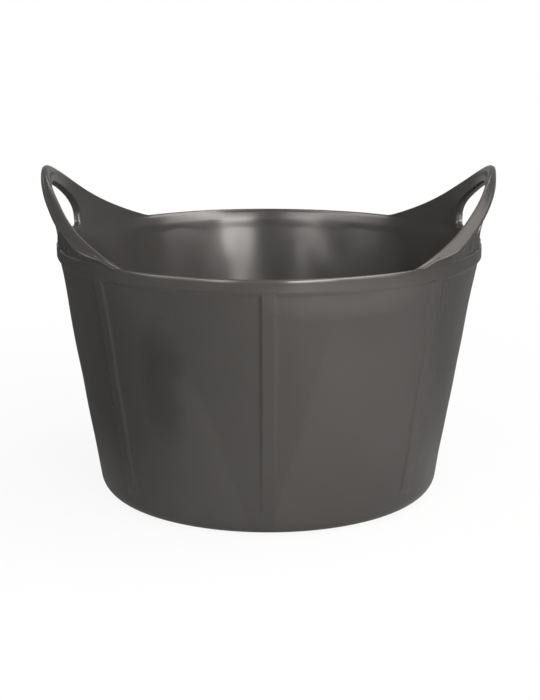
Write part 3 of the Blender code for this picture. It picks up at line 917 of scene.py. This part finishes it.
def makeStage():
    # A pale floor that the camera sees as white, keeping part of the shadow. In gloss it shows a little
    # white and a
    # painted shade: darker to the left and behind, lighter by the tub's foot on the left.
    mesh = bpy.data.meshes.new("studio_floor")
    reach = studioFloor["reach"]
    corners = [(reach * x, reach * y, 0) for x, y in ((-1, -1), (1, -1), (1, 1), (-1, 1))]
    mesh.from_pydata(corners, [], [(0, 1, 2, 3)])
    ground = bpy.data.objects.new("studio_floor", mesh)
    bpy.context.scene.collection.objects.link(ground)
    material = bpy.data.materials.new("pale floor")
    material.use_nodes = True
    tree = material.node_tree
    tree.nodes.clear()
    out = newNode(tree, "OutputMaterial")
    matt = newNode(tree, "BsdfDiffuse")
    place = newNode(tree, "TexCoord").outputs["Object"]
    axes = newNode(tree, "SeparateXYZ")
    link(tree, place, axes.inputs["Vector"])
    gloss = newNode(tree, "LightPath").outputs["Is Glossy Ray"]
    far = newNode(tree, "VectorMath", operation="LENGTH")
    link(tree, place, far.inputs[0])
    # Painted shade and light for gloss rays only; the camera and the soft light see the plain matt colour
    byFoot = ramp(tree, far.outputs["Value"], *studioFloor["byFoot"])
    byFoot = combine(tree, "MULTIPLY", byFoot, ramp(tree, axes.outputs["X"], *studioFloor["byFootLeft"]))
    dim = combine(tree, "ADD", ramp(tree, axes.outputs["X"], *studioFloor["across"]), byFoot)
    dim = combine(tree, "MULTIPLY", dim, ramp(tree, axes.outputs["Y"], *studioFloor["behind"]))
    change = combine(tree, "MULTIPLY", gloss, combine(tree, "SUBTRACT", dim, studioFloor["matt"]))
    link(tree, combine(tree, "ADD", studioFloor["matt"], change), matt.inputs["Color"])
    white = newNode(tree, "Emission", Color=(1, 1, 1, 1), Strength=1.0)
    share = newNode(tree, "MixShader")
    plain = ramp(tree, far.outputs["Value"], *studioFloor["plain"])
    link(tree, seenAsBackground(tree, plain, room["white"]), share.inputs["Fac"])
    link(tree, matt.outputs["BSDF"], share.inputs[1])
    link(tree, white.outputs["Emission"], share.inputs[2])
    link(tree, share.outputs["Shader"], out.inputs["Surface"])
    mesh.materials.append(material)


def seenAsBackground(tree, camera, gloss):
    # How far a ray sees plain white: by the first share from the camera, by the second in gloss and glass.
    path = newNode(tree, "LightPath")
    mirrored = combine(tree, "MAXIMUM", path.outputs["Is Glossy Ray"], path.outputs["Is Transmission Ray"])
    direct = combine(tree, "MULTIPLY", path.outputs["Is Camera Ray"], camera)
    return combine(tree, "MAXIMUM", direct, combine(tree, "MULTIPLY", mirrored, gloss))


# What a user would change on the room round the tub
room = {
    "ambient": 0.50,            # the even light that falls on everything
    "base": 0.12,               # how light the room looks in gloss, and what each side adds
    "right": 0.10,
    "behind": 0.22,
    "ceiling": 0.30,            # how much of that is left overhead
    "white": 0.06,              # share of the plain white background in gloss
    "tint": (1.0, 0.955, 0.938),    # colour of the soft boxes
}


def makeWorld():
    # White for the camera, even light, and in gloss a dim room that is lighter behind and on the right.
    world = bpy.data.worlds.new("studio")
    bpy.context.scene.world = world
    world.use_nodes = True
    tree = world.node_tree
    tree.nodes.clear()
    out = newNode(tree, "OutputWorld")
    axes = newNode(tree, "SeparateXYZ")
    link(tree, newNode(tree, "TexCoord").outputs["Generated"], axes.inputs["Vector"])
    rightward = ramp(tree, axes.outputs["X"], -0.4, 0.9, 0, room["right"])
    rearward = ramp(tree, axes.outputs["Y"], -0.1, 0.6, 0, room["behind"])
    low = ramp(tree, axes.outputs["Z"], 0.35, 0.65, 1.0, room["ceiling"])
    both = combine(tree, "ADD", combine(tree, "ADD", rightward, rearward), room["base"])
    both = combine(tree, "MULTIPLY", both, low)
    path = newNode(tree, "LightPath")
    ambient = combine(tree, "MULTIPLY", path.outputs["Is Diffuse Ray"], room["ambient"])
    dim = newNode(tree, "Background", Color=(1, 1, 1, 1))
    link(tree, combine(tree, "MAXIMUM", both, ambient), dim.inputs["Strength"])
    white = newNode(tree, "Background", Color=(1, 1, 1, 1), Strength=1.0)
    share = newNode(tree, "MixShader")
    link(tree, seenAsBackground(tree, 1.0, room["white"]), share.inputs["Fac"])
    link(tree, dim.outputs["Background"], share.inputs[1])
    link(tree, white.outputs["Background"], share.inputs[2])
    link(tree, share.outputs["Shader"], out.inputs["Surface"])


# Soft boxes: turn round Z from the camera's side, height angle, distance, size, power, and whether it
# lights the matt share of the plastic too
softBoxes = {
    "key": (19.5, 18, 2.3, (0.68, 0.85), 28, True),
    "side": (48, 32, 2.2, (1.0, 0.8), 8, True),
    "fill": (-24, 17, 2.4, (0.55, 0.8), 10, True),
    "overhead": (75, 62, 2.1, (1.7, 1.5), 21, True),
    "rear": (188, 56, 2.3, (1.9, 0.5), 9, False),
    "rimLeft": (-47, 32, 2.3, (2.4, 0.45), 26, False),
    "rimRight": (55, 34, 2.3, (2.0, 0.45), 26, False),
    "strip": (37, 24, 2.3, (0.6, 0.35), 5, False),
    "wingRight": (54, 17, 2.3, (0.95, 0.9), 9, False),
    "wingLeft": (-52, 17, 2.3, (1.4, 0.9), 7, False),
}


def makeLights():
    # Each soft box stands on a sphere round a point inside the tub, and faces it.
    aim = Vector((0, 0, rimHeight * 0.7))
    for name, (turn, height, distance, size, power, matt) in softBoxes.items():
        data = bpy.data.lights.new(name, "AREA")
        data.shape = "RECTANGLE"
        data.size, data.size_y = size
        data.energy = power
        data.color = room["tint"]
        lamp = bpy.data.objects.new(name, data)
        lamp.visible_diffuse = matt
        a, b = np.radians((turn, height))
        lamp.location = aim + distance * Vector((np.sin(a) * np.cos(b), -np.cos(a) * np.cos(b), np.sin(b)))
        lamp.rotation_euler = (aim - lamp.location).to_track_quat("-Z", "Y").to_euler()
        bpy.context.scene.collection.objects.link(lamp)


# What a user would change on the camera
photoView = {
    "sensor": 36,               # millimetres, as its lens
    "lens": 84.2,
    "place": (0.00156, -1.578, 0.5149),
    "down": 0.2354,             # how far it looks down, in radians
}


def makeCamera():
    data = bpy.data.cameras.new("camera")
    data.sensor_width = photoView["sensor"]
    data.lens = photoView["lens"]
    view = bpy.data.objects.new("camera", data)
    view.location = photoView["place"]
    view.rotation_euler = (np.pi / 2 - photoView["down"], 0, 0)
    bpy.context.scene.collection.objects.link(view)
    bpy.context.scene.camera = view


makeCamera()
makeWorld()
makeLights()
makeStage()
bpy.context.scene.view_settings.view_transform = "Standard"
print("camera, lights and floor made")

tubPlastic = makePlastic("tub polyethylene", plastic)

# Parts of the imported model that the moulding's halves stand in for, hidden below
wallNodes = ["tub_wall", "base_corner", "foot_ring", "rim_band"]
wallNodes += ["wall_rib_" + where for where in ("front", "back")]

for word, side in (("left", -1), ("right", 1)):
    shell = closedMesh("moulding_" + word, shellGrids(side))
    shell.data.materials.append(tubPlastic)
    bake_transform(shell)
    own = ["handle_panel", "grip_roll", "hand_hole_collar"]
    own += ["%s_%s" % (part, end) for part in ("leg_panel", "leg_roll") for end in ("front", "back")]
    ribs = ["wall_rib_%s_%s" % (end, word) for end in ("front", "back")]
    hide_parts(*wallNodes, *ribs, *["%s_%s" % (node, word) for node in own])
    for part, piece, place in makeRidges(side, word):
        piece.data.materials.append(tubPlastic)
        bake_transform(piece)
        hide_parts("%s_%s_%s" % (part, place, word))
    print(word, "half made:", len(shell.data.polygons), "faces")

floorPiece = makeFloor()
floorPiece.data.materials.append(tubPlastic)
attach(floorPiece, "tub")
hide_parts("tub_floor")
print("floor made")
